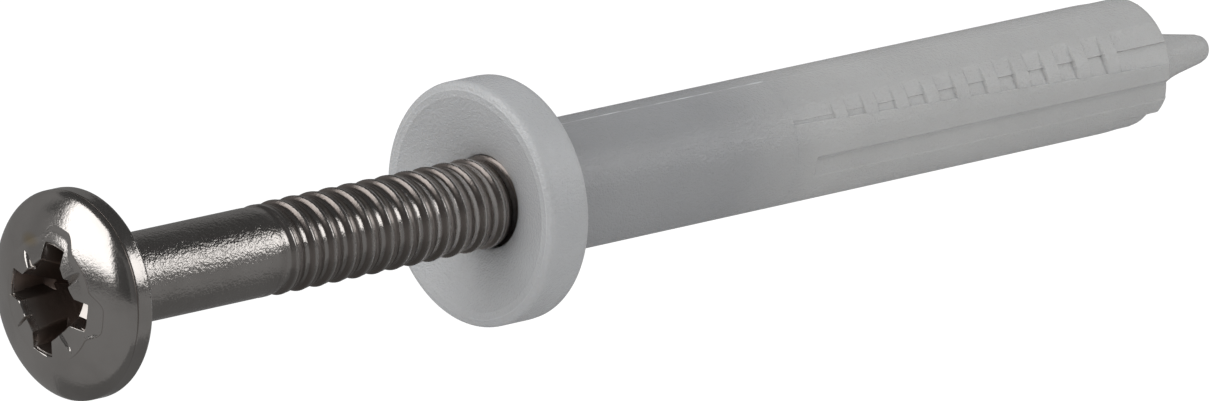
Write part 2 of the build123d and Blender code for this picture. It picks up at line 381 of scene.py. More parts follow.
def make_steel():
    """Satin plated steel, with an orange-peel surface, and dark oxidised colour with painted shade
    in its hollows, creases and thread flanks.
    """
    material, tree, shader, place = new_material("satin steel")
    grain = grained(tree, place, coarse=0.2, fine=0.09, drift=2.2, fine_share=0.4)
    along = node(tree, "ShaderNodeSeparateXYZ", {"Vector": place}).outputs["Y"]
    shank = ranged(tree, along, -25.2 * MM, -24.5 * MM, 0.0, 1.0, smooth=False)
    # each point's share of dark oxidised colour and painted shade
    hollow = node(tree, "ShaderNodeAttribute", attribute_name="hollow").outputs["Fac"]
    bright = blended(tree, grain["Drift"], DULL_STEEL, BRIGHT_STEEL)
    inputs = {"Vector": place, "Location": [-value * MM for value in STAIN_CENTRE]}
    centred = node(tree, "ShaderNodeMapping", inputs).outputs["Vector"]
    inputs = {"Vector": centred, "Scale": [1 / (value * MM) for value in STAIN_SIZE]}
    sized = node(tree, "ShaderNodeMapping", inputs).outputs["Vector"]
    ball = node(tree, "ShaderNodeTexGradient", {"Vector": sized}, gradient_type="SPHERICAL")
    stain = sums(tree, "MULTIPLY", ball.outputs["Fac"], 1.1, clamp=True)
    stained = blended(tree, stain, bright, STRAW_STEEL)
    tone = blended(tree, hollow, stained, OXIDE_AND_PAINTED_SHADE)
    tree.links.new(tone, shader.inputs["Base Color"])
    shader.inputs["Metallic"].default_value = 1.0
    satin = mixed(tree, shank, 0.15, 0.14)
    duller = sums(tree, "ADD", satin, 0.03)
    plain = mixed(tree, grain["Speckle"], satin, duller)
    rough = mixed(tree, hollow, plain, 0.36)
    tree.links.new(rough, shader.inputs["Roughness"])
    # the rolled thread is smoother than the plain part, and the head smoother still
    plain_part = ranged(tree, along, -15.6 * MM, -14.4 * MM, 1.0, 0.35, smooth=False)
    raised = mixed(tree, shank, 0.16, plain_part)
    height = sums(tree, "MULTIPLY", grain["Height"], raised)
    tree.links.new(bumped(tree, height, 0.055), shader.inputs["Normal"])
    return material


nylon = make_nylon()
steel = make_steel()


# ---- mesh helpers
def skin(rings, loop=False):
    """Points and faces of a skin stretched over rings that have the same number of points."""
    count = len(rings[0])
    points = [point for ring in rings for point in ring]
    faces = []
    for ring in range(len(rings) if loop else len(rings) - 1):
        here, there = ring * count, (ring + 1) % len(rings) * count
        for i in range(count):
            j = (i + 1) % count
            faces.append((here + i, here + j, there + j, there + i))
    return points, faces


def capped(rings):
    """The same skin, closed by a face over its first and its last ring."""
    points, faces = skin(rings)
    count = len(rings[0])
    faces.append(tuple(reversed(range(count))))
    faces.append(tuple(range(len(points) - count, len(points))))
    return points, faces


def joined(skins):
    """Several skins as one: the points in metres, and the faces."""
    points, faces = [], []
    for skin_points, skin_faces in skins:
        first = len(points)
        points += [Vector(point) * MM for point in skin_points]
        faces += [tuple(first + i for i in face) for face in skin_faces]
    return points, faces


def new_mesh(name, points, faces, **shares):
    """A mesh, with any named shares that its material reads at each point."""
    mesh = bpy.data.meshes.new(name)
    mesh.from_pydata(points, [], faces)
    for share, values in shares.items():
        mesh.attributes.new(share, "FLOAT", "POINT").data.foreach_set("value", values)
    return mesh


def make_piece(name, shells, material, **shares):
    """One named moulded piece from its closed shells."""
    mesh = new_mesh(name, *joined(shells), **shares)
    finish_mesh(mesh, NYLON_CREASE)
    mesh.materials.append(material)
    return placed(name, mesh)


def finish_mesh(mesh, crease):
    """Merges doubled points, splits many-sided faces and turns every face outwards."""
    shape = bmesh.new()
    shape.from_mesh(mesh)
    bmesh.ops.remove_doubles(shape, verts=shape.verts, dist=1e-9)
    many = [face for face in shape.faces if len(face.verts) > 4]
    bmesh.ops.triangulate(shape, faces=many)
    bmesh.ops.recalc_face_normals(shape, faces=shape.faces)
    shape.to_mesh(mesh)
    shape.free()
    mesh.shade_smooth()
    mesh.set_sharp_from_angle(angle=radians(crease))


# ---- the moulding's parting line
PARTING_OFFSETS = (-2.4, -1.3, -0.75, -0.35, 0.0, 0.35, 0.75, 1.3, 2.4)


def parting_angle(y):
    """The parting line's angle round the axis; it leans a little along the sleeve."""
    return PARTING_ANGLE - PARTING_LEAN * y


def parting_ridge(offset, y):
    """How far the flash stands up at that many degrees beside the line."""
    worn = 0.55 + 0.3 * sin(y * 2.3) + 0.25 * sin(y * 7.1 + 1.0)
    return PARTING_HEIGHT * worn * (1 - blend_up(abs(offset), 0.15, PARTING_HALF_WIDTH))


def painted_highlight_share(offset, y):
    """How much painted highlight the flash gets: it comes and goes along the line."""
    worn = 0.4 + 0.35 * sin(y * 1.35 + 0.4) + 0.3 * sin(y * 4.3 + 1.7)
    return min(max(worn, 0.12), 0.9) * (1 - blend_up(abs(offset), 0.3, 1.1))


def sleeve_columns(y):
    """Angles round the barrel: even ones, and close ones over the two parting lines."""
    line = parting_angle(y)
    columns = []
    for side in (0.0, 180.0):
        columns += [(line + side + offset, offset) for offset in PARTING_OFFSETS]
        start = line + side + PARTING_OFFSETS[-1]
        stop = line + side + 180.0 + PARTING_OFFSETS[0]
        columns += [(angle, None) for angle in steps(start, stop, 62)[1:-1]]
    return columns


# ---- sleeve: collar and barrel
def corner(centre_r, centre_y, radius, start, stop, count):
    """Profile points of a rounded corner; its angles go from +r towards +y."""
    turns = [radians(angle) for angle in steps(start, stop, count)]
    return [(centre_r + radius * cos(t), centre_y + radius * sin(t)) for t in turns]


def sleeve_profile():
    """(radius, y) from the bore's mouth over the collar and barrel, and back down the bore."""
    front, radius = COLLAR_FRONT, COLLAR_RADIUS
    profile = [(MOUTH_RADIUS, DISH_FLOOR + 0.3), (MOUTH_RADIUS, DISH_FLOOR + 0.06)]
    profile += [(MOUTH_RADIUS + 0.04, DISH_FLOOR - 0.02), (MOUTH_RADIUS + 0.14, DISH_FLOOR - 0.07)]
    for share in (0.12, 0.25, 0.4, 0.55, 0.7, 0.85, 0.95, 0.99):
        rise = (front + 0.02 - DISH_FLOOR) * share**DISH_FULLNESS
        profile.append((mix(BORE_RADIUS, DISH_RADIUS, share), DISH_FLOOR + rise))
    profile += [(DISH_RADIUS, front + 0.014), (DISH_RADIUS + 0.02, front + 0.008)]
    ring_shape = ((-0.055, 0.012), (-0.025, 0.004), (0.0, 0.0), (0.025, 0.006), (0.05, 0.022))
    profile += [(FACE_RING_RADIUS + out, front + back) for out, back in ring_shape]
    profile += corner(radius - COLLAR_ROUND, front + COLLAR_ROUND + 0.03, COLLAR_ROUND, -78, 0, 9)
    profile += [(radius, mix(front, 0, share)) for share in (0.3, 0.45, 0.6, 0.75, 0.88)]
    back_round = COLLAR_BACK_ROUND
    profile += corner(radius - back_round - 0.01, -back_round, back_round, 20, 90, 5)
    profile += [(5.2, 0.0), (4.6, 0.0), (3.9, 0.0), (3.35, 0.0), (3.12, 0.006)]
    profile += [(3.045, 0.035), (3.012, 0.09), (BARREL_RADIUS, 0.2)]
    profile += [(BARREL_RADIUS, y) for y in steps(0.7, BARREL_END, 40)]
    profile += [(mix(BARREL_RADIUS, BORE_RADIUS, 0.5), BARREL_END), (BORE_RADIUS, BARREL_END)]
    profile += [(BORE_RADIUS, y) for y in steps(BARREL_CORE_END, 0.0, 12)]
    return profile


def sleeve_rings():
    """The sleeve's rings, and how much painted highlight each point gets along flash or a sharp
    edge.
    """
    rings, flash = [], []
    for radius, y in sleeve_profile():
        on_barrel = y > 0.15 and radius > BARREL_RADIUS - 0.01
        on_rim = radius > COLLAR_RADIUS - 0.03
        edge = ring_painted_highlight(radius) if y < COLLAR_FRONT + 0.03 else 0.0
        ring = []
        for angle, offset in sleeve_columns(max(y, 0.0)):
            ridge = 0.0
            turn = radians(angle)
            # painted highlight: uneven along the face's fine lines, and along the flash on the
            # barrel
            pale = edge * (0.45 + 0.3 * sin(turn + 0.5) + 0.25 * sin(5 * turn + 1.1))
            if offset is not None and on_barrel:
                ridge = parting_ridge(offset, y)
                pale = painted_highlight_share(offset, y)
            if offset is not None and on_rim:
                ridge = -0.5 * parting_ridge(offset, y)
            ring.append(around(radius + ridge, angle, y))
            flash.append(pale)
        rings.append(ring)
    return rings, flash


def ring_painted_highlight(radius):
    """Painted highlight: two fine pale lines painted on the collar's face, at the dish's edge and
    near the rim.
    """
    inner = 0.3 * (1 - blend_up(abs(radius - DISH_RADIUS - 0.01), 0.0, 0.03))
    outer = 0.4 * (1 - blend_up(abs(radius - FACE_RING_RADIUS), 0.01, 0.04))
    return max(inner, outer)


sleeve_skin, sleeve_painted_highlight = sleeve_rings()
sleeve = make_piece("sleeve_body", [skin(sleeve_skin, loop=True)], nylon, flash=sleeve_painted_highlight)


# ---- the two expansion legs
def along_leg(y):
    """How far along the leg, as a share of its length."""
    return (y - BARREL_END) / (LEG_END - BARREL_END)


def slit_width(y):
    """Both slits widen from the barrel to the leg's end."""
    return mix(SLIT_ROOT_WIDTH, SLIT_END_WIDTH, along_leg(y))


def ledge_width(y):
    """The shallow ledge beside the slit widens too."""
    return mix(LEDGE_ROOT_WIDTH, LEDGE_END_WIDTH, along_leg(y))


WEB_STARTS = [FIRST_WEB + n * WEB_PITCH for n in range(WEB_COUNT)]
WEB_EDGE = 0.05
TONGUE_TUCK = 0.05
TONGUE_SINK = 0.008
POCKET_ROOT_DEPTH = 0.075
POCKET_END_DEPTH = 0.27
LEDGE_ROOT_DEPTH = 0.06


def web_share(y):
    """1 on a web, 0 in a pocket, with softly rounded edges between them."""
    return max(band(y, start, start + WEB_WIDTH, WEB_EDGE) for start in WEB_STARTS)


def end_rounding(y):
    """How far the leg's end has drawn in."""
    past = y - (LEG_END - LEG_END_ROUND)
    if past <= 0:
        return 0.0
    return LEG_END_ROUND - sqrt(max(LEG_END_ROUND**2 - past**2, 0.0))


def groove_cut(angle, y):
    """The long groove, deep at the edge nearer the other slit and running out at the other."""
    if not GROOVE_SHALLOW_ANGLE - 2 < angle < GROOVE_DEEP_ANGLE + 2:
        return 0.0
    across = (angle - GROOVE_SHALLOW_ANGLE) / (GROOVE_DEEP_ANGLE - GROOVE_SHALLOW_ANGLE)
    floor = mix(GROOVE_LIP, GROOVE_DEPTH, min(max(across, 0.0), 1.0))
    rise = blend_up(angle, GROOVE_SHALLOW_ANGLE - 0.6, GROOVE_SHALLOW_ANGLE + 0.6)
    fall = blend_up(angle, GROOVE_DEEP_ANGLE - 5.0, GROOVE_DEEP_ANGLE + 0.9)
    return floor * (rise - fall) * blend_up(y, GROOVE_START - 0.06, GROOVE_START + 0.12)


def relief_cut(angle, y):
    """The relief in the middle of the leg's end, with a shallow run-in before it."""
    inside = band(angle, *RELIEF_ANGLES, RELIEF_EDGE)
    step_in = blend_up(y, LEG_END - RELIEF_LENGTH - 0.1, LEG_END - RELIEF_LENGTH + 0.1)
    run_in = blend_up(y, LEG_END - 2.8, LEG_END - 0.9)
    return inside * (RELIEF_DEPTH * step_in * 0.9 + 0.07 * run_in)


def leg_radius(angle, y):
    """The leg's outside, drafted towards its end, less what is cut from it."""
    outside = BARREL_RADIUS - (y - BARREL_END) * tan(radians(LEG_DRAFT))
    return outside - max(groove_cut(angle, y) + end_rounding(y), relief_cut(angle, y))


def outer_angles(y):
    """Angles of the leg's outer points above its ledge, in the leg's own frame."""
    line = parting_angle(y) - SLIT_TURN
    start = degrees(asin((ledge_width(y) + 0.03) / BARREL_RADIUS))
    stop = 180 - degrees(asin(slit_width(y) / BARREL_RADIUS))
    low, high = RELIEF_ANGLES
    shallow, deep = GROOVE_SHALLOW_ANGLE, GROOVE_DEEP_ANGLE
    over_edge = (-1.2, -0.4, 0.4, 1.2)
    past_line = steps(line + 4.0, low - 2.5, 7)
    past_line += [low + offset for offset in over_edge]
    past_line += steps(low + 3, high - 3, 13)
    past_line += [high + offset for offset in over_edge]
    past_line += steps(high + 3, shallow - 2.5, 6)
    past_line += [shallow + offset for offset in over_edge]
    past_line += steps(shallow + 3, deep - 3, 7)
    past_line += [deep + offset for offset in (-1.3, -0.65, 0.0, 0.65, 1.3)]
    past_line += steps(deep + 2.6, stop - 1.0, 6)
    angles = [(angle, None) for angle in steps(start, line - 3.2, 12)]
    angles += [(line + offset, offset) for offset in PARTING_OFFSETS]
    angles += [(angle, None) for angle in past_line]
    return angles, stop


def rib_height(y):
    """The rib in the bore that the screw's thread pushes on."""
    reach = y - BARREL_END
    lead = BARREL_END - FULL_THREAD_END
    slope = RIB_SHARE * tan(radians(LEG_SWING)) / SCREW_TRAVEL
    return slope * reach * (reach + lead)


def own_edge(y, tongue):
    """The tongue's outer face and the ledge, by their height over the slit's line."""
    web = web_share(y)
    slit = slit_width(y)
    ledge_plane = BARREL_RADIUS - mix(LEDGE_ROOT_DEPTH, LEDGE_DEPTH, along_leg(y))
    pocket_plane = BARREL_RADIUS - mix(POCKET_ROOT_DEPTH, POCKET_END_DEPTH, along_leg(y))
    heights = [-tongue, -slit, -slit + 0.03, -slit * 0.75, -slit * 0.5, -slit * 0.25, -0.02]
    heights += [ledge_width(y) * share for share in (0.0, 0.15, 0.32, 0.5, 0.68, 0.85, 1.0)]
    outline = []
    for height in heights:
        angle = degrees(asin(height / BARREL_RADIUS))
        radius = leg_radius(angle, y)
        if height < 0:
            radius -= TONGUE_SINK * -height / tongue
        surface = sqrt(radius**2 - height**2)
        floor = ledge_plane if height >= 0 else pocket_plane
        outline.append((mix(min(surface, floor), surface, web), height))
    return outline


def bore_side(y, slit, closed):
    """The leg's half of the bore with its rib, or a flat where the end wall closes it."""
    if closed:
        back = [(mix(-BORE_RADIUS + 0.05, -0.02, share), slit) for share in steps(0, 1, 16)]
        back += [(mix(0.02, BORE_RADIUS - 0.002, share), 0.0) for share in steps(0, 1, 16)]
        return back
    back = []
    first = 180 - degrees(asin(slit / BORE_RADIUS))
    for angle in steps(first, 0.0, 32):
        turn = radians(angle)
        on_rib = 1 - blend_up(abs(BORE_RADIUS * cos(turn)), RIB_HALF_WIDTH, RIB_FOOT)
        radius = BORE_RADIUS - rib_height(y) * on_rib
        back.append((radius * cos(turn), radius * sin(turn)))
    return back


def leg_section(y, closed):
    """The leg's outline across the anchor: (across, out) pairs in the leg's own frame."""
    slit = slit_width(y)
    tongue = slit + TONGUE_TUCK
    outline = own_edge(y, tongue)
    angles, stop = outer_angles(y)
    for angle, offset in angles:
        radius = leg_radius(angle, y)
        if offset is not None:
            radius += parting_ridge(offset, y)
        turn = radians(angle)
        outline.append((radius * cos(turn), radius * sin(turn)))
    # the edge by the other leg's slit
    edge_out = sqrt(leg_radius(stop, y) ** 2 - slit**2)
    outline += [(-edge_out + 0.05, slit), (-mix(edge_out, BORE_RADIUS, 0.5), slit)]
    outline += bore_side(y, slit, closed)
    # the own edge's wall, then the tongue's inner face
    outline += [(WEB_FLOOR, 0.0)]
    outline += [(WEB_FLOOR, -tongue * share) for share in (0.33, 0.66, 1.0)]
    outline += [(mix(WEB_FLOOR, outline[0][0], 0.5), -tongue)]
    return outline


def leg_stations():
    """Where the leg's outline is taken along the anchor."""
    stations = {BARREL_END, 15.3, 15.7, 16.1, 16.16, 16.22, 16.28, 16.34, 16.8}
    for start in WEB_STARTS:
        for edge in (start, start + WEB_WIDTH):
            stations.update(edge + offset * WEB_EDGE for offset in (-1, -0.5, 0, 0.5, 1))
        stations.update(steps(start + 0.15, start + WEB_WIDTH - 0.15, 3))
        stations.update(steps(start + WEB_WIDTH + 0.15, start + WEB_PITCH - 0.15, 3))
    relief = LEG_END - RELIEF_LENGTH
    stations.update(relief + offset for offset in (-0.8, -0.4, -0.2, -0.1, -0.05, 0, 0.05, 0.1))
    for angle in (0, 12, 24, 36, 48, 60, 70, 80, 90):
        swept = LEG_END_ROUND * sin(radians(angle))
        stations.add(LEG_END - LEG_END_ROUND + swept)
    listed = sorted(s for s in stations if s <= LEG_END + 1e-6)
    kept = [listed[0]]
    for station in listed[1:]:
        if station - kept[-1] > 0.004:
            kept.append(station)
    open_part = [(s, False) for s in kept if s < BORE_END - 0.02]
    end_wall = [(BORE_END, False), (BORE_END + 0.004, True)]
    closed_part = [(s, True) for s in kept if s > BORE_END + 0.02]
    return open_part + end_wall + closed_part


def leg_shell(turn_degrees):
    """The leg's closed skin, turned to its place round the axis."""
    turn = radians(turn_degrees)
    rings = []
    for y, closed in leg_stations():
        ring = []
        for across, out in leg_section(y, closed):
            x = across * cos(turn) - out * sin(turn)
            z = across * sin(turn) + out * cos(turn)
            ring.append((x, y, z))
        rings.append(ring)
    return capped(rings)


def nub_shell(turn_degrees):
    """The conical nub, a little below the axis and flared on its leg's side."""
    columns = steps(0, 360, 49)[:-1]
    slope = (NUB_BASE_RADIUS - NUB_TIP_RADIUS) / (NUB_TIP - LEG_END)
    tip = corner(NUB_TIP_RADIUS - NUB_ROUND + 0.03, NUB_TIP - NUB_ROUND, NUB_ROUND, 8, 90, 7)
    profile = [(NUB_BASE_RADIUS + slope * 0.4, LEG_END - 0.4)]
    profile += [
        (NUB_BASE_RADIUS - slope * (y - LEG_END), y)
        for y in steps(LEG_END - 0.05, NUB_TIP - NUB_ROUND - 0.1, 22)
    ]
    rings = []
    for radius, y in profile + tip:
        ring = []
        for angle in columns:
            flare_share = max(sin(radians(angle - turn_degrees)), 0.0) ** 0.6
            up = min(max((y - LEG_END) / FLARE_LENGTH, 0.0), 1.0)
            flare = (FLARE_RADIUS - NUB_BASE_RADIUS) * (1 - up) ** 2.6
            x, _, z = around(radius + flare * flare_share, angle, y)
            ring.append((x, y, z - NUB_DROP))
        rings.append(ring)
    return capped(rings)


leg_upper = make_piece("leg_upper_body", [leg_shell(SLIT_TURN)], nylon)
lower_turn = SLIT_TURN + 180
leg_lower = make_piece("leg_lower_body", [leg_shell(lower_turn), nub_shell(lower_turn)], nylon)


# ---- the screw's thread
# from one crest to the next: how far along, and how deep, each as a share of the whole
THREAD_PROFILE = (
    (0.0, 0.0), (0.03, 0.02), (0.08, 0.14), (0.13, 0.23), (0.17, 0.24), (0.2, 0.21), (0.26, 0.27),
    (0.34, 0.46), (0.44, 0.69), (0.52, 0.85), (0.58, 0.94), (0.65, 0.985), (0.72, 1.0),
    (0.78, 0.98), (0.82, 0.9), (0.86, 0.69), (0.9, 0.42), (0.935, 0.17), (0.955, 0.04),
    (0.975, 0.0), (1.0, 0.0),
)
# how dark the painted shade is along the same stretch: the flanks are painted darker
THREAD_PAINTED_SHADE = (
    (0.0, 0.1), (0.1, 0.4), (0.25, 0.7), (0.42, 0.65), (0.54, 0.25), (0.64, 0.05), (0.75, 0.15),
    (0.81, 0.75), (0.91, 0.7), (0.95, 0.35), (0.97, 0.0), (1.0, 0.1),
)
THREAD_SIZES = {
    "Columns": 73,
    "Rows": 800,
    "Start": SHANK_END * MM,
    "Run-in End": THREAD_RUN_IN_END * MM,
    "Full Thread End": FULL_THREAD_END * MM,
    "Tip": SCREW_TIP * MM,
    "Shank Radius": SHANK_RADIUS * MM,
    "Thread Radius": THREAD_RADIUS * MM,
    "Point Radius": POINT_RADIUS * MM,
    "Groove Depth": THREAD_DEPTH * MM,
    "Spacing": THREAD_SPACING * MM,
    "Starts": THREAD_STARTS,
    "Crest": THREAD_CREST * MM,
}


def curved(tree, value, points):
    """A Float Curve node's result, with the curve through those points."""
    made = node(tree, "ShaderNodeFloatCurve", {"Value": value})
    curve = made.mapping.curves[0]
    while len(curve.points) < len(points):
        curve.points.new(0.5, 0.5)
    for point, place in zip(curve.points, points):
        point.location = place
    made.mapping.update()
    return made.outputs["Value"]


def crest_phase(tree, given, turn, station):
    """How far a point is between one crest and the next, as a share."""
    lead = sums(tree, "MULTIPLY", given["Spacing"], given["Starts"])
    wound = sums(tree, "MULTIPLY_ADD", turn, lead, station)
    past_crest = sums(tree, "SUBTRACT", wound, given["Crest"])
    return sums(tree, "FRACT", sums(tree, "DIVIDE", past_crest, given["Spacing"]))


def threaded(tree, given, station, phase):
    """The radius of shank, thread and point, and how much painted shade the thread's flanks get.
    """
    rising = ranged(tree, station, given["Start"], given["Run-in End"])
    falling = ranged(tree, station, given["Full Thread End"], given["Tip"], 1.0, 0.0)
    fade = sums(tree, "MULTIPLY", rising, falling)
    sunk = sums(tree, "MULTIPLY", curved(tree, phase, THREAD_PROFILE), fade)
    hollow = sums(tree, "MULTIPLY", curved(tree, phase, THREAD_PAINTED_SHADE), fade)
    body = mixed(tree, rising, given["Shank Radius"], given["Thread Radius"])
    taper = ranged(tree, station, given["Full Thread End"], given["Tip"], smooth=False)
    narrowed = mixed(tree, taper, body, given["Point Radius"])
    groove = sums(tree, "MULTIPLY", sunk, given["Groove Depth"])
    return sums(tree, "SUBTRACT", narrowed, groove), hollow


def thread_tree():
    """A tube with the rolled thread in it, from one grid that is wrapped round the axis."""
    tree = bpy.data.node_groups.new("rolled thread", "GeometryNodeTree")
    for name, value in THREAD_SIZES.items():
        sockets(tree, "INPUT", "Int" if isinstance(value, int) else "Float", name)
    sockets(tree, "INPUT", "Material", "Material")
    sockets(tree, "OUTPUT", "Geometry", "Geometry")
    given = tree.nodes.new("NodeGroupInput").outputs
    inputs = {
        "Size X": 1.0,
        "Size Y": 1.0,
        "Vertices X": given["Columns"],
        "Vertices Y": given["Rows"],
    }
    shape = node(tree, "GeometryNodeMeshGrid", inputs).outputs["Mesh"]
    flat = node(tree, "GeometryNodeInputPosition").outputs["Position"]
    parts = node(tree, "ShaderNodeSeparateXYZ", {"Vector": flat}).outputs
    turn = sums(tree, "ADD", parts["X"], 0.5)
    length = sums(tree, "SUBTRACT", given["Tip"], given["Start"])
    share = sums(tree, "ADD", parts["Y"], 0.5)
    # rows stand closer together at the start, where the thread can be seen
    crowded = sums(tree, "MULTIPLY", share, sums(tree, "MULTIPLY_ADD", share, 0.5, 0.5))
    station = sums(tree, "MULTIPLY_ADD", crowded, length, given["Start"])
    phase = crest_phase(tree, given, turn, station)
    radius, hollow = threaded(tree, given, station, phase)
    angle = sums(tree, "MULTIPLY", turn, 2 * pi)
    inputs = {
        "X": sums(tree, "MULTIPLY", radius, sums(tree, "COSINE", angle)),
        "Y": station,
        "Z": sums(tree, "MULTIPLY", radius, sums(tree, "SINE", angle)),
    }
    wrapped = node(tree, "ShaderNodeCombineXYZ", inputs).outputs["Vector"]
    store = {"data_type": "FLOAT", "domain": "POINT"}
    for kind, inputs, settings in (
        ("GeometryNodeStoreNamedAttribute", {"Name": "hollow", "Value": hollow}, store),
        ("GeometryNodeSetPosition", {"Position": wrapped}, {}),
        ("GeometryNodeMergeByDistance", {"Distance": 1e-6}, {}),
        ("GeometryNodeRealizeInstances", {}, {}),
        ("GeometryNodeSetMaterial", {"Material": given["Material"]}, {}),
    ):
        made = node(tree, kind, {"Geometry": shape, **inputs}, **settings)
        shape = made.outputs["Geometry"]
    tree.links.new(shape, tree.nodes.new("NodeGroupOutput").inputs["Geometry"])
    return tree


def baked(name, tree, values):
    """The tree's result as a plain mesh."""
    holder = placed(name, bpy.data.meshes.new(name))
    modifier = holder.modifiers.new(name, "NODES")
    modifier.node_group = tree
    for item in tree.interface.items_tree:
        if item.in_out == "INPUT" and item.name in values:
            modifier[item.identifier] = values[item.name]
    graph = bpy.context.evaluated_depsgraph_get()
    mesh = bpy.data.meshes.new_from_object(holder.evaluated_get(graph))
    bpy.data.objects.remove(holder)
    return mesh


thread_mesh = baked("thread", thread_tree(), {**THREAD_SIZES, "Material": steel})


# ---- the screw's head and shank
HEAD_COLUMNS = 576
SHANK_COLUMNS = 72
CROWN_CIRCLE = 3.84
DENT_REACH = 2.77
DENT_DEPTH = 0.075
DENT_MIDDLE = 45.0
# where the recess's outline meets the crown, below the crown's top
RECESS_MOUTH = 0.35
RECESS_FLOOR_RISE = 0.25
ARM_ROUND = 0.06
# the right arm's end keeps a bright facet between these angles
FACET_FROM, FACET_TO = -12.0, 6.5
FACET_ROOT = 1.95
FACET_TOP = 0.5
# each tick mark's angle, where it runs out, its half width and its depth
TICKS = (
    (128.5, 2.55, 0.17, 0.26),
    (218.0, 2.8, 0.07, 0.25),
    (305.5, 2.76, 0.12, 0.16),
    (37.5, 2.7, 0.22, 0.3),
)


def crown_y(radius):
    """The crown's height at that radius: a full dome, steep at the rim."""
    out = min(radius / HEAD_RADIUS, 1.0)
    return RIM_TOP - CROWN_HEIGHT * (1 - out**CROWN_FULLNESS) ** (1 / CROWN_FULLNESS)


def recess_radius(angle, depth, arms=True):
    """The recess's outline at that depth: four arms, and a square core set across them."""
    turn = radians(angle - RECESS_TURN)
    along, across = abs(cos(turn)), abs(sin(turn))
    along, across = max(along, across), min(along, across)
    core = RECESS_CORE - depth * tan(radians(RECESS_CORE_TAPER))
    reach = core / ((along + across) / sqrt(2))
    if arms:
        narrowed = depth * tan(radians(RECESS_ARM_TAPER))
        half_arm = RECESS_HALF_ARM - narrowed
        length = RECESS_REACH - narrowed
        arm = min(length / along, half_arm / max(across, 1e-6))
        # the arm's corners are rounded off
        arm = min(arm, hypot(length, half_arm) - ARM_ROUND)
        reach = max(reach, arm)
    return reach


def off_angle(angle, middle):
    """How far an angle is from the middle one, either way round."""
    return (angle - middle + 180) % 360 - 180


def tick_cut(angle, radius):
    """The tick marks between the arms: four V grooves that run out away from the recess."""
    cut = 0.0
    for middle, stop, half, deep in TICKS:
        beside = abs(radians(off_angle(angle, middle))) * radius
        share = 1 - blend_up(radius, 1.9, stop)
        width = half * (0.35 + 0.65 * share)
        cut = max(cut, deep * share * max(1 - beside / width, 0.0))
    return cut


def dent_radius(angle):
    """Where the punch's shallow dent round the recess ends: it bulges round two of the arms."""
    edge = DENT_REACH
    for middle, bulge in ((RECESS_TURN + 2, 0.62), (RECESS_TURN + 88, 0.58)):
        edge += bulge * (1 - blend_up(abs(off_angle(angle, middle)), 8, 25))
    return edge


def dent_cut(angle, radius):
    """The dent's floor, its sloping wall and its crisp edge."""
    toward = 0.5 + 0.5 * cos(radians(off_angle(angle, DENT_MIDDLE)))
    edge = dent_radius(angle)
    wall = 0.12 + 0.2 * toward
    level = min(max((edge - radius) / wall, 0.0), 1.0)
    return (0.25 + 0.75 * toward) * DENT_DEPTH * level


def dent_line(angle):
    """Painted shade along the dent's edge, where the edge is crisp."""
    return 0.6 * (1 - blend_up(abs(off_angle(angle, 8)), 45, 75))


def creased(angle):
    """How deep the crease between crown and rim is, and how much painted shade it holds: both fade
    away round the head.
    """
    return 0.12 + 0.88 * (1 - blend_up(abs(off_angle(angle, 42)), 40, 75))


def lip_width(angle):
    """The width of the recess's rolled lip, which is uneven."""
    turn = radians(angle)
    return 0.055 * (1 + 0.7 * sin(5 * turn + 1) * sin(9 * turn))


def in_facet(angle):
    """Whether the angle lies across the facet in the recess's right arm."""
    return FACET_FROM < off_angle(angle, 0.0) < FACET_TO


def crown_point(radius, angle, drop=0.0):
    """A point of the crown, with its dent and its tick marks."""
    sunk = dent_cut(angle, radius) + tick_cut(angle, radius)
    return radius, crown_y(radius) + drop + sunk


# Each of the next functions gives, at one angle of one ring, radius, y and painted shade with
# oxidised colour.
def core_floor(angle, share):
    """The recess's floor rises a little towards its middle."""
    radius = recess_radius(angle, RECESS_CORE_DEPTH, arms=False) * share
    return radius, CROWN_TOP + RECESS_CORE_DEPTH + RECESS_FLOOR_RISE * (1 - share), 1.0


def core_wall(angle, depth):
    """The core's wall, below the arms."""
    return recess_radius(angle, depth, arms=False), CROWN_TOP + depth, 1.0


def arm_wall(angle, depth, share):
    """The arms' walls; share is how far up they are, and the facet replaces one arm's end."""
    if in_facet(angle):
        radius = mix(FACET_ROOT, recess_radius(angle, FACET_TOP) - 0.03, share)
        x, _, z = around(radius, angle, 0)
        depth = 0.62 + 0.3 * (x - 2.2) + 0.4 * (z + 0.3)
        # the facet gets a little painted shade, which dulls its highlight
        return radius, CROWN_TOP + depth, 0.35
    # oxidised colour with painted shade, darker down the arm's wall
    oxide_and_shade = 0.5 + 0.5 * blend_up(depth, 0.3, 1.2)
    return recess_radius(angle, depth), CROWN_TOP + depth, oxide_and_shade


def lip(angle, out, drop, oxide_and_shade):
    """The small rolled edge where the recess's wall meets the crown."""
    radius = recess_radius(angle, RECESS_MOUTH) + out * lip_width(angle)
    return *crown_point(radius, angle, drop), oxide_and_shade


def crown_in_dent(angle, share):
    """From the recess's outline out to the dent's, with painted shade along the dent's edge."""
    near = recess_radius(angle, RECESS_MOUTH) + lip_width(angle)
    oxide_and_shade = dent_line(angle) if share == 1.0 else 0.0
    return *crown_point(mix(near, dent_radius(angle) - 0.004, share), angle), oxide_and_shade


def crown_past_dent(angle, share):
    """From the dent's outline out to a circle, with painted shade just past the dent's edge."""
    oxide_and_shade = dent_line(angle) if share == 0.0 else 0.0
    return *crown_point(mix(dent_radius(angle) + 0.012, CROWN_CIRCLE, share), angle), oxide_and_shade


def crease(angle, inset, down, oxide_and_shade):
    """The fine crease that parts the crown from the rim, with painted shade along it."""
    deep = creased(angle)
    return HEAD_RADIUS - inset * deep, RIM_TOP + down, oxide_and_shade * deep


def circle(_, radius, y, oxide_and_shade=0.0):
    """The same radius and y at every angle."""
    return radius, y, oxide_and_shade


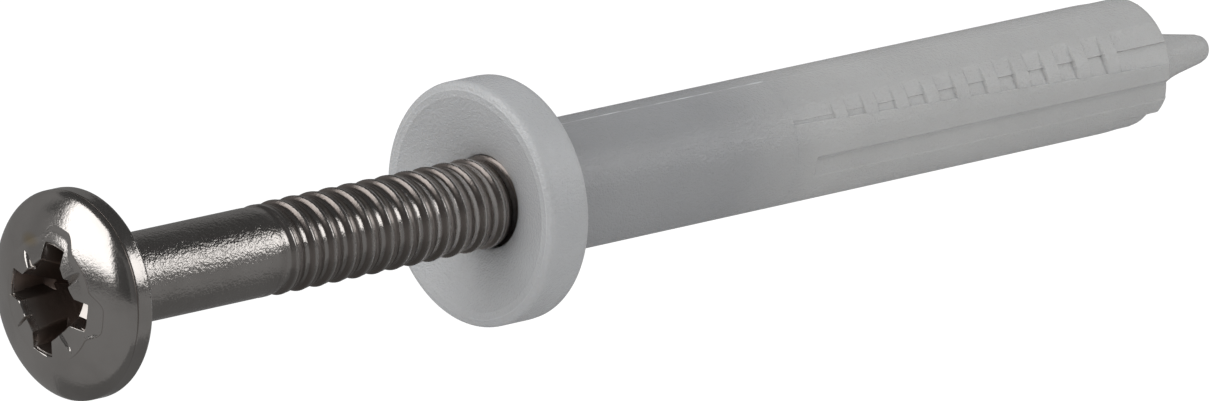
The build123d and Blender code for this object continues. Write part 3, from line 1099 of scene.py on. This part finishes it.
def recess_rings():
    """The recess from its floor up its walls to its lip."""
    rings = [partial(core_floor, share=share) for share in (0.02, 0.35, 0.7, 0.97)]
    core_depths = (RECESS_CORE_DEPTH, 2.6, 2.3, 2.0, RECESS_ARM_DEPTH + 0.02)
    rings += [partial(core_wall, depth=depth) for depth in core_depths]
    arm_depths = (RECESS_ARM_DEPTH, 1.8, 1.6, 1.3, 1.0, 0.8, 0.65, 0.5)
    for share, depth in zip(steps(0, 1, len(arm_depths)), arm_depths):
        rings.append(partial(arm_wall, depth=depth, share=share))
    # the lip's rings: how far out, how far down, and how much painted shade at the recess's edge
    for out, drop, oxide_and_shade in ((0.2, 0.13, 0.4), (0.5, 0.045, 0.15), (1.0, 0.008, 0.0)):
        rings.append(partial(lip, out=out, drop=drop, oxide_and_shade=oxide_and_shade))
    return rings


def crown_rings():
    """The crown: its rings turn from the recess's outline into the dent's and into circles."""
    inside = (0.05, 0.15, 0.3, 0.45, 0.6, 0.72, 0.82, 0.9, 0.96, 1.0)
    rings = [partial(crown_in_dent, share=share) for share in inside]
    outside = (0.0, 0.03, 0.08, 0.2, 0.36, 0.52, 0.7, 0.86, 1.0)
    rings += [partial(crown_past_dent, share=share) for share in outside]
    for radius in (3.98, 4.1, 4.22, 4.32, 4.41, 4.49, 4.55, 4.6, 4.635, 4.66, 4.674):
        rings.append(partial(circle, radius=radius, y=crown_y(radius)))
    return rings


def rim_rings():
    """The crease, the rim band, its rounded edge and the flat under the head."""
    # how far in, how far down, and how much painted shade darkens the crease
    creases = ((0.03, -0.01, 0.7), (0.028, 0.03, 0.8), (0.004, 0.055, 0.0), (0.0, 0.085, 0.0))
    rings = []
    for inset, down, oxide_and_shade in creases:
        rings.append(partial(crease, inset=inset, down=down, oxide_and_shade=oxide_and_shade))
    under = HEAD_SEAT - RIM_ROUND
    for y in steps(RIM_TOP + 0.14, under, 6):
        rings.append(partial(circle, radius=HEAD_RADIUS, y=y))
    for angle in steps(15, 90, 6):
        turn = radians(angle)
        radius = HEAD_RADIUS - RIM_ROUND * (1 - cos(turn))
        rings.append(partial(circle, radius=radius, y=under + RIM_ROUND * sin(turn)))
    # painted shade on the flat under the head
    for radius in (3.9, 3.2, 2.6):
        rings.append(partial(circle, radius=radius, y=HEAD_SEAT, oxide_and_shade=0.3))
    return rings


def head_rings():
    """The head's rings from the recess's floor to its underside, and each point's painted shade
    with oxidised colour.
    """
    columns = steps(0, 360, HEAD_COLUMNS + 1)[:-1]
    rings, hollow = [], []
    for place_at in recess_rings() + crown_rings() + rim_rings():
        ring = []
        for angle in columns:
            radius, y, oxide_and_shade = place_at(angle)
            x, _, z = around(radius, angle, y)
            ring.append((x, y, z - HEAD_DROP))
            hollow.append(oxide_and_shade)
        rings.append(ring)
    return rings, hollow


def shank_rings():
    """The plain shank from its fillet under the head to where the thread begins."""
    columns = steps(0, 360, SHANK_COLUMNS + 1)[:-1]
    fillet = ((2.22, 0.0), (2.1, 0.03), (2.04, 0.1), (SHANK_RADIUS, 0.2))
    profile = [(radius, HEAD_SEAT + up) for radius, up in fillet]
    profile += [(SHANK_RADIUS, y) for y in steps(-24.0, SHANK_END, 18)]
    return [[around(radius, angle, y) for angle in columns] for radius, y in profile]


def make_screw():
    """Head and shank joined to the thread as one closed mesh."""
    rings, hollow = head_rings()
    points, faces = joined([skin(rings), skin(shank_rings())])
    faces.append(tuple(reversed(range(HEAD_COLUMNS))))
    first = len(hollow)
    hollow += [0.0] * (len(points) - first)
    # the flat under the head steps down from fine columns to the shank's
    last_ring = len(rings) - 1
    fine = HEAD_COLUMNS // SHANK_COLUMNS
    for column in range(SHANK_COLUMNS):
        inner = [first + (column + 1) % SHANK_COLUMNS, first + column]
        start = column * fine
        outer = [last_ring * HEAD_COLUMNS + (start + i) % HEAD_COLUMNS for i in range(fine + 1)]
        faces.append(tuple(outer + inner))
    mesh = new_mesh("drive_screw_body", points, faces, hollow=hollow)
    shape = bmesh.new()
    shape.from_mesh(mesh)
    shape.from_mesh(thread_mesh)
    bmesh.ops.remove_doubles(shape, verts=shape.verts, dist=2e-6)
    tip = [e for e in shape.edges if e.is_boundary and e.verts[0].co.y > (SCREW_TIP - 1) * MM]
    bmesh.ops.edgeloop_fill(shape, edges=tip)
    shape.to_mesh(mesh)
    shape.free()
    finish_mesh(mesh, STEEL_CREASE)
    mesh.materials.clear()
    mesh.materials.append(steel)
    for face in mesh.polygons:
        face.material_index = 0
    return placed("drive_screw_body", mesh)


drive_screw = make_screw()

# ---- the sleeve and screw ride on their bodies; each piece hides the CAD part it stands for
for piece, body, stands_for, finish in (
    (sleeve, "sleeve", "sleeve", "nylon"),
    (drive_screw, "screw", "drive_screw", "steel"),
):
    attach(piece, body)
    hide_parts(stands_for)

for piece, body in ((leg_upper, "leg_upper"), (leg_lower, "leg_lower")):
    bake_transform(piece)
    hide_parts(body)


# ---- floor, world and lamps
def white_for_view(tree):
    """1 for the rays that show the background: from the camera, off metal and through glass."""
    path = tree.nodes.new("ShaderNodeLightPath").outputs
    seen = sums(tree, "MAXIMUM", path["Is Camera Ray"], path["Is Glossy Ray"])
    return sums(tree, "MAXIMUM", seen, path["Is Transmission Ray"])


def bare_tree(owner):
    """The emptied node tree of a world or a material."""
    owner.use_nodes = True
    owner.node_tree.nodes.clear()
    return owner.node_tree


def show(tree, surface, kind="ShaderNodeOutputMaterial"):
    """Links the surface to a new output node."""
    tree.links.new(surface, tree.nodes.new(kind).inputs["Surface"])


def make_world():
    """Soft room light, warmer from below and cooler from above, and white for the view."""
    world = bpy.data.worlds.new("studio")
    bpy.context.scene.world = world
    tree = bare_tree(world)
    toward = tree.nodes.new("ShaderNodeTexCoord").outputs["Generated"]
    height = node(tree, "ShaderNodeSeparateXYZ", {"Vector": toward}).outputs["Z"]
    up = ranged(tree, height, -0.6, 0.9)
    room = blended(tree, up, (0.59, 0.565, 0.54, 1), (0.9, 0.915, 0.94, 1))
    colour = blended(tree, white_for_view(tree), room, (1, 1, 1, 1))
    light = node(tree, "ShaderNodeBackground", {"Color": colour, "Strength": 1.0})
    show(tree, light.outputs[0], "ShaderNodeOutputWorld")


def flat_thing(name, corners, material):
    """A four-cornered face of the studio, in metres."""
    mesh = new_mesh(name, corners, [(0, 1, 2, 3)])
    mesh.materials.append(material)
    return placed(name, mesh)


def level_corners(half, height):
    """The corners of a level square round the anchor."""
    sides = ((-half, -half), (half, -half), (half, half), (-half, half))
    return [(x, y, height) for x, y in sides]


FLOOR_HALF = 12.0
FLOOR_HEIGHT = -0.07


def make_floor():
    """A pale floor well below the anchor: it glows white for the view and keeps the shadow."""
    material = bpy.data.materials.new("pale floor")
    tree = bare_tree(material)
    matt = node(tree, "ShaderNodeBsdfDiffuse", {"Color": (0.75, 0.75, 0.75, 1)}).outputs[0]
    glow = node(tree, "ShaderNodeEmission", {"Color": (1, 1, 1, 1), "Strength": 0.93}).outputs[0]
    soft = node(tree, "ShaderNodeBsdfDiffuse", {"Color": (0.12, 0.12, 0.12, 1)}).outputs[0]
    lit = node(tree, "ShaderNodeAddShader", {0: glow, 1: soft}).outputs[0]
    either = node(tree, "ShaderNodeMixShader", {"Fac": white_for_view(tree), 1: matt, 2: lit})
    show(tree, either.outputs[0])
    floor = flat_thing("floor", level_corners(FLOOR_HALF, FLOOR_HEIGHT), material)


def aim(toward, distance):
    """A matrix for something at that distance in that direction, facing the anchor."""
    out = Vector(toward).normalized()
    turned = out.to_track_quat("Z", "Y").to_matrix().to_4x4()
    return Matrix.Translation(Vector((0, 0.005, 0)) + out * distance) @ turned


def make_lamp(name, toward, distance, width, height, radiance):
    """A softbox, in metres: radiance is how bright its face looks, where 1 is white."""
    lamp = bpy.data.lights.new(name, "AREA")
    lamp.shape = "RECTANGLE"
    lamp.size = width
    lamp.size_y = height
    lamp.energy = radiance * pi * width * height
    placed(name, lamp).matrix_world = aim(toward, distance)


def make_card(name, corners, level):
    """A grey card that only reflections see, to shape what the steel shows."""
    material = bpy.data.materials.new(name)
    tree = bare_tree(material)
    glow = node(tree, "ShaderNodeEmission", {"Color": (level, level, level, 1)}).outputs[0]
    show(tree, glow)
    card = flat_thing(name, corners, material)
    for rays in ("camera", "diffuse", "shadow", "transmission"):
        setattr(card, "visible_" + rays, False)


def standing_card(name, start, stop, low, high, radius, level):
    """A card that stands round the anchor between two directions, seen from above."""
    feet = []
    for angle in (start, stop):
        turn = radians(angle)
        feet.append((radius * cos(turn), radius * sin(turn)))
    (x1, y1), (x2, y2) = feet
    make_card(name, [(x1, y1, low), (x2, y2, low), (x2, y2, high), (x1, y1, high)], level)


make_world()
make_floor()
# name, direction, then distance, width and height in metres, and radiance
make_lamp("front softbox", (-0.236, -0.824, 0.515), 0.6, 0.5, 0.58, 1.8)
make_lamp("rear softbox", (0.609, 0.676, 0.415), 0.6, 0.36, 0.255, 1.5)
# name, half its width and its height in metres, and how bright it is
for name, half, height, level in (
    ("ceiling card", 1.15, 0.75, 0.05),
    ("table card", 1.3, -0.056, 0.21),
    ("dark card", 0.055, -0.052, 0.12),
):
    make_card(name, level_corners(half, height), level)
# name, first and last direction, lower and upper edge, distance, and how bright it is
for card in (
    ("left frame card", 212, 228, 0.2, 0.7, 0.64, 0.055),
    ("lower frame card", 238, 278, -0.04, 0.03, 0.64, 0.055),
    ("right frame card", 278, 314, -0.04, 0.4, 0.64, 0.055),
    ("table edge card", 20, 62, -0.06, 0.07, 0.99, 0.22),
):
    standing_card(*card)
# the room beyond: directions, and how bright it is between them
CURTAIN = (
    (20, 62, 0.09), (62, 100, 0.045), (100, 125, 0.1), (125, 150, 0.16), (150, 180, 0.18),
    (180, 205, 0.19), (205, 235, 0.165), (235, 262, 0.19), (262, 300, 0.14), (300, 335, 0.11),
    (335, 380, 0.1),
)
for start, stop, level in CURTAIN:
    standing_card("curtain card " + str(start), start, stop, -0.06, 0.76, 1.0, level)

bpy.context.scene.view_settings.view_transform = "Standard"
